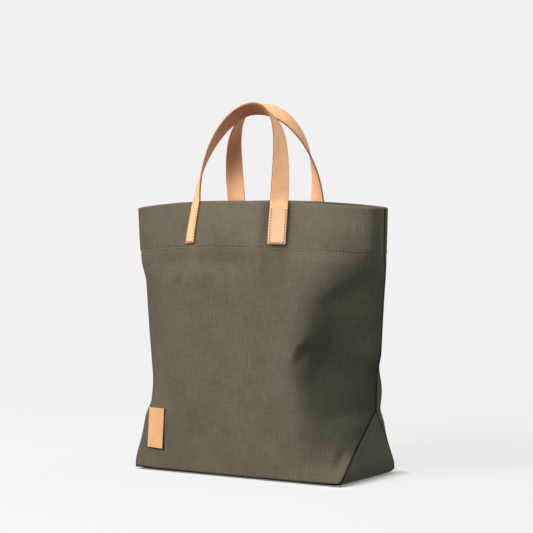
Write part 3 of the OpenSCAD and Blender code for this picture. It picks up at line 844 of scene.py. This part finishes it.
# ---- threads ----
def stitches(name, places, along, out, material, length, width, node):
    """A row of single stitches, each a short rounded stroke of thread, a quarter sunk in."""
    around, steps = 6, 5
    points, faces = [], []
    for p, a, n in zip(places, along, out):
        side = unit(np.cross(n, a))
        first = len(points)
        for k in range(steps):
            u = -1 + 2 * k / (steps - 1)
            r = width / 2 * max(0.25, np.sqrt(max(0, 1 - abs(u) ** 3)))
            arch = (1 - u * u) * width * 0.45
            for m in range(around):
                b = 2 * np.pi * m / around
                points.append(p + a * u * length / 2 + side * r * np.cos(b)
                              + n * (r * np.sin(b) * 0.8 + arch - 0.25 * width))
        faces += [[first + f for f in face] for face in tube_faces(steps, around)]
    return add_mesh(name, points, faces, material, "bag", replaces=[node])


def hem_stitching(skin, name, node):
    """The row of stitches along the lower edge of the hem, each a little askew."""
    half = float(np.interp(STITCH_Z, ROW_Z, skin.half))
    s = np.arange(-half + 5, half - 4, STITCH_LEN)
    place, out, right, up = skin.at(s, STITCH_Z + 0 * s, 0.05)
    tilt = unit(right + 0.12 * up)
    return stitches(name, place, tilt, out, hem_thread, 2.5, 1.15, node)


# ---- straps ----
def base_frame(side, x, z, hand):
    """Point on the smooth cloth at a distance x from the middle, and the direction out of it.
    Both sides of the bag are worked out as if they were the front."""
    def place(t, z):
        px, py = level_cut(side, t, z)
        return np.array([hand * px, -py, z + rise(px, z)])
    ts = np.linspace(0, 1, 2001)
    t = float(np.interp(x, level_cut(side, ts, z + 0 * ts)[0], ts))
    across, up = place(t + 1e-3, z) - place(t - 1e-3, z), place(t, z + 0.05) - place(t, z - 0.05)
    return place(t, z), unit(hand * np.cross(across, up))


def arch_line(side, s, hand, foot):
    """The strap's centreline above the rim, from a foot at s = 0 to the top at s = 1."""
    uv = bezier([[foot[0], 0], [foot[0] + side["arch_out"], ARCH_RISE],
                 [side["crown"], side["arch_h"]], [0, side["arch_h"]]], s)
    up = uv[:, 1] / side["arch_h"]
    return np.stack([hand * uv[:, 0] + side["shift"] * up,
                     foot[1] + side["lean"] * up - 4 * side["bow"] * up * (1 - up),
                     LEG_Z + uv[:, 1]], 1)


def strap_path(side):
    """Centreline, outward direction and length so far, from the right tab over the arch to the
    left one."""
    middle, outward = {}, {}
    for hand in (1, -1):
        zs = np.linspace(TAB_Z, RIM_Z, 22)
        points, outs = [], []
        for z in zs:
            x = TAB_X + (side["leg_x"] - TAB_X) * (z - TAB_Z) / TAB_LEN
            p, n = base_frame(side, x, z, hand)
            out_by = LEATHER_GAP + STRAP_T / 2 + 0.9 * (1 - step(z, RIM_Z - 6, RIM_Z))
            lean = DRIFT * (1 - z / RIM_Z) * np.array([1, -side["sign"]])
            points.append(p + n * out_by + np.array([lean[0], lean[1], 0]))
            outs.append(n)
        foot, foot_out = base_frame(side, side["leg_x"], RIM_Z, 1)
        foot = foot + foot_out * (LEATHER_GAP + STRAP_T / 2)
        s = np.linspace(0, 1, 90)[1:]
        line = arch_line(side, s, hand, foot)
        along = unit(arch_line(side, s + 1e-3, hand, foot) - arch_line(side, s - 1e-3, hand, foot))
        sideways = unit(hand * np.stack([along[:, 2], 0 * s, -along[:, 0]], 1))
        forwards = unit(np.array([0, -1.0, 0]) + along[:, 1:2] * along)
        turned = np.radians(TOP_TURN + (side["turn"] - TOP_TURN) * (1 - s) ** side["twist"])[:, None]
        middle[hand] = np.concatenate([points, line])
        outward[hand] = np.concatenate([outs, np.cos(turned) * sideways + np.sin(turned) * forwards])
    line = np.concatenate([middle[1], middle[-1][-2::-1]])
    out = np.concatenate([outward[1], outward[-1][-2::-1]])
    run = length_along(line)
    even = np.linspace(0, run[-1], 190)
    line = np.stack([np.interp(even, run, line[:, k]) for k in range(3)], 1)
    out = np.stack([np.interp(even, run, out[:, k]) for k in range(3)], 1)
    ends = line[[0, -1]].copy()
    line, out = soften(line, 1.2), unit(soften(out, 2.0))
    line[[0, -1]] = ends
    if side["sign"] > 0:
        line, out = line * [1, -1, 1], out * [1, -1, 1]
    return line, out, even


def strap_profile():
    """Across the strap: [place across, place outwards, edge mark, inner side mark]."""
    w, t, r = STRAP_W / 2, STRAP_T / 2, 0.7
    top = [[a * (w - r), t + 0.12 * (1 - a * a), 0, 0] for a in np.linspace(-1, 1, 13)]
    right = [[w - r + r * np.sin(q), t - r + r * np.cos(q), 1, 0] for q in np.radians([35, 70, 90])]
    right += [[w - r + r * np.sin(q), -t + r + r * np.cos(q), 1, 0] for q in np.radians([90, 110, 145])]
    low = [[a * (w - r), -t, 0, 1] for a in np.linspace(1, -1, 9)]
    left = [[-p[0], p[1], 1, 0] for p in right[::-1]]
    return np.array(top + right + low + left)


def strap(side, name, nodes):
    """One unbroken strap with its two tabs, which bends at the rim where its arch leaves the cloth."""
    line, out, run = strap_path(side)
    along = unit(np.gradient(line, axis=0))
    out = unit(out - (out * along).sum(1)[:, None] * along)
    across = np.cross(out, along)
    if side["sign"] > 0:
        across = -across
    profile = strap_profile()
    points, uv = [], []
    marks = {"edge": [], "flesh": [], "painted_arch_shade": [], "pale": []}
    for k in range(len(run)):
        d = min(run[k], run[-1] - run[k])
        trim = CORNER_R - np.sqrt(CORNER_R ** 2 - (CORNER_R - min(d, CORNER_R)) ** 2)
        wide = (STRAP_W / 2 - trim) / (STRAP_W / 2)
        tip = 1 - 0.35 * bell(d, 0, 0.4)
        for a, b, at_edge, on_flesh in profile:
            points.append(line[k] + across[k] * a * wide + out[k] * b * tip)
            uv.append([run[k], a])
            marks["edge"].append(max(at_edge, float(d < 0.3)))
            marks["flesh"].append(on_flesh)
            # painted shade on the inner side, rising towards the arch's top
            marks["painted_arch_shade"].append(step(line[k][2], LEG_Z + 25, LEG_Z + 95))
            # painted sheen over the first tab and the foot of its leg
            marks["pale"].append(0.9 * (1 - step(run[k], 10, 75)))
    faces = tube_faces(len(run), len(profile), flip=side["sign"] < 0)
    leather = stained_leather if side is FRONT else strap_leather
    piece = add_mesh(name, points, faces, leather, None, uv, marks, nodes)
    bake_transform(piece)
    return piece


def tab_stitching(side, hand, name, node):
    """The U-shaped row of stitches that holds a tab."""
    line, out, run = strap_path(side)
    if hand < 0:
        line, out = line[::-1], out[::-1]
    along = unit(np.gradient(line, axis=0))
    a = STRAP_W / 2 - STITCH_IN
    places = []
    for d in np.arange(STITCH_IN, TAB_LEN - 10, STITCH_LEN):
        places += [(d + STITCH_LEN / 2, a, False), (d + STITCH_LEN / 2, -a, False)]
    for c in np.linspace(-a, a, 6)[:-1]:
        places.append((STITCH_IN, c + a / 5, True))
    pos, direction, normal = [], [], []
    for d, c, crosswise in places:
        p, n, t = (np.array([np.interp(d, run, row[:, k]) for k in range(3)]) for row in (line, out, along))
        n, t = unit(n), unit(t)
        b = unit(np.cross(n, t))
        pos.append(p + b * c + n * (STRAP_T / 2 + 0.06))
        direction.append(b if crosswise else t)
        normal.append(n)
    return stitches(name, pos, direction, normal, strap_thread, 2.2, 1.7, node)


# ---- label ----
def label(skin):
    """The label: a slightly bowed leaf of leather with rounded edges and a pressed border."""
    s = skin.s_of_x(-LABEL_X + DRIFT[0] * (1 - LABEL_Z / RIM_Z), LABEL_Z)
    centre, out, right, up = (v[0] for v in skin.at([s], [LABEL_Z]))
    nu, nv = 49, 85
    u, v = np.linspace(-1, 1, nu)[None], np.linspace(-1, 1, nv)[:, None]
    x, y = u * LABEL_W / 2 + 0 * v, v * LABEL_H / 2 + 0 * u
    edge = np.minimum(LABEL_W / 2 - np.abs(x), LABEL_H / 2 - np.abs(y))
    r = 0.6
    drop = r - np.sqrt(np.maximum(r * r - np.clip(r - edge, 0, r) ** 2, 0))
    pressed = 0.28 * bell(edge, 2.2, 0.45)
    bend = 0.9 * u ** 2 + 0 * v
    top = LABEL_T + LEATHER_GAP + 0.4 - drop - pressed - bend
    low = LEATHER_GAP - bend + 0 * v
    points, faces, uv, edges = [], [], [], []
    for k, height in enumerate((top, low)):
        grid = centre + x[..., None] * right + y[..., None] * up + height[..., None] * out
        points.append(grid.reshape(-1, 3))
        faces += list(grid_faces(nv, nu, k * nu * nv, flip=k == 1))
        uv.append(np.stack([y, x], -1).reshape(-1, 2))
        edges.append(((edge < 0.45) | (k == 1)).astype(float).ravel())
    none = np.zeros(2 * nu * nv)
    marks = {"edge": np.concatenate(edges), "flesh": none, "painted_arch_shade": none, "pale": none}
    return add_mesh("leather_label_piece", np.concatenate(points), faces + side_faces(nv, nu), label_leather,
                    "bag", np.concatenate(uv), marks, ["leather_label"])


# ---- inside ----
def pocket(skin):
    """An open pocket on the inner side, whose mouth gapes a little."""
    w, d, top = 150.0, 120.0, FACING_Z - 6
    nu, nv = 51, 45
    s = np.linspace(-w / 2, w / 2, nu)[None] + 0 * np.zeros((nv, 1))
    z = np.linspace(top - d, top, nv)[:, None] + 0 * s
    gape = 4.0 * step(z, top - 45, top) * (1 - (s / (w / 2)) ** 2)
    layers, faces, uv, worn = [], [], [], []
    for k, t in enumerate((1.0, 0.0)):
        inset = CANVAS_T + 0.35 + gape + t * (1.0 + 0.7 * step(z, top - 13, top - 12))
        layers.append(skin.at(s, z, -inset)[0].reshape(-1, 3))
        faces += list(grid_faces(nv, nu, k * nu * nv, flip=k == 1))
        uv.append(np.stack([s, z + 500], -1).reshape(-1, 2))
        worn.append((0.5 * bell(z, top - 12, 1.5)).ravel())
    marks = {"worn": np.concatenate(worn), "painted_shade": np.zeros(2 * nu * nv)}
    return add_mesh("pocket_cloth", np.concatenate(layers), faces + side_faces(nv, nu), lining, "bag",
                    np.concatenate(uv), marks, ["inside_pocket"])


def tape(name, line, inward, flat, node, flip=False):
    """Binding folded over a seam allowance, as a soft flat bar along a line."""
    line, inward, flat = (np.asarray(v, float) for v in (line, inward, flat))
    a = np.linspace(0, 2 * np.pi, 14, endpoint=False)
    points, uv = [], []
    for p, n, f, r in zip(line, inward, flat, length_along(line)):
        wave = 0.3 * np.sin(r / 9.0)
        for q in a:
            x = 4.0 * np.sign(np.cos(q)) * abs(np.cos(q)) ** 0.5
            y = 1.1 * np.sign(np.sin(q)) * abs(np.sin(q)) ** 0.7
            points.append(p + n * x + f * (y + wave))
            uv.append([x + 3 * y, r])
    return add_mesh(name, points, tube_faces(len(line), len(a), flip), binding, "bag", uv,
                    {"worn": np.zeros(len(points)), "painted_shade": np.zeros(len(points))}, [node])


def seam_tapes():
    """Binding down the two side seams, and along the two end seams in a pointed arch."""
    z = np.linspace(POINT_Z + 8, FACING_Z - 3, 40)
    for hand, word in ((-1, "left"), (1, "right")):
        line = drifted(np.stack([hand * (seam_x(z) - 7.2), 0 * z, z], 1) + pull(hand, z), z)
        tape(word + "_side_binding", line, [[-hand, 0, 0]] * len(z), [[0, 1, 0]] * len(z),
             word + "_side_seam_tape", hand > 0)
        low = np.linspace(0.12, 0.72, 24) * POINT_Z
        leg = np.stack([hand * (seam_x(low) - 6), -(seam_y(low) - 6), low], 1)
        tip = [[hand * (seam_x(np.array(POINT_Z)) - 12), 0, POINT_Z - 10]]
        whole = soften(np.concatenate([leg, tip, leg[::-1] * [1, -1, 1]]), 1.2)
        along = unit(np.gradient(whole, axis=0))
        inward = unit(np.stack([-hand + 0 * whole[:, 0], -np.tanh(whole[:, 1] / 6), 0 * whole[:, 0]], 1))
        flat = unit(np.cross(along, inward))
        line = drifted(whole + pull(hand, whole[:, 2]), whole[:, 2])
        tape(word + "_end_binding", line, unit(np.cross(flat, along)), flat, word + "_end_seam_tape")


# ---- build ----
add_camera()
add_room()
floor, wall = add_floor(), add_backdrop()
add_lights()
front_skin, back_skin = Skin(FRONT), Skin(BACK)
canvas_panel(front_skin, "front_canvas", ["front_panel", "front_hem_facing"])
canvas_panel(back_skin, "back_canvas", ["back_panel", "back_hem_facing"])
canvas_base()
hem_stitching(front_skin, "front_hem_stitches", "front_hem_stitching")
hem_stitching(back_skin, "back_hem_stitches", "back_hem_stitching")
strap(FRONT, "front_strap", ["front_left_strap_tab", "front_right_strap_tab", "front_handle"])
strap(BACK, "back_strap", ["back_left_strap_tab", "back_right_strap_tab", "back_handle"])
for side, word in ((FRONT, "front"), (BACK, "back")):
    for hand, place in ((-1, "left"), (1, "right")):
        tab_stitching(side, hand, f"{word}_{place}_tab_stitches", f"{word}_{place}_tab_stitching")
label(front_skin)
pocket(back_skin)
seam_tapes()
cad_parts["base_board"].data.materials.clear()
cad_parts["base_board"].data.materials.append(board_cover)
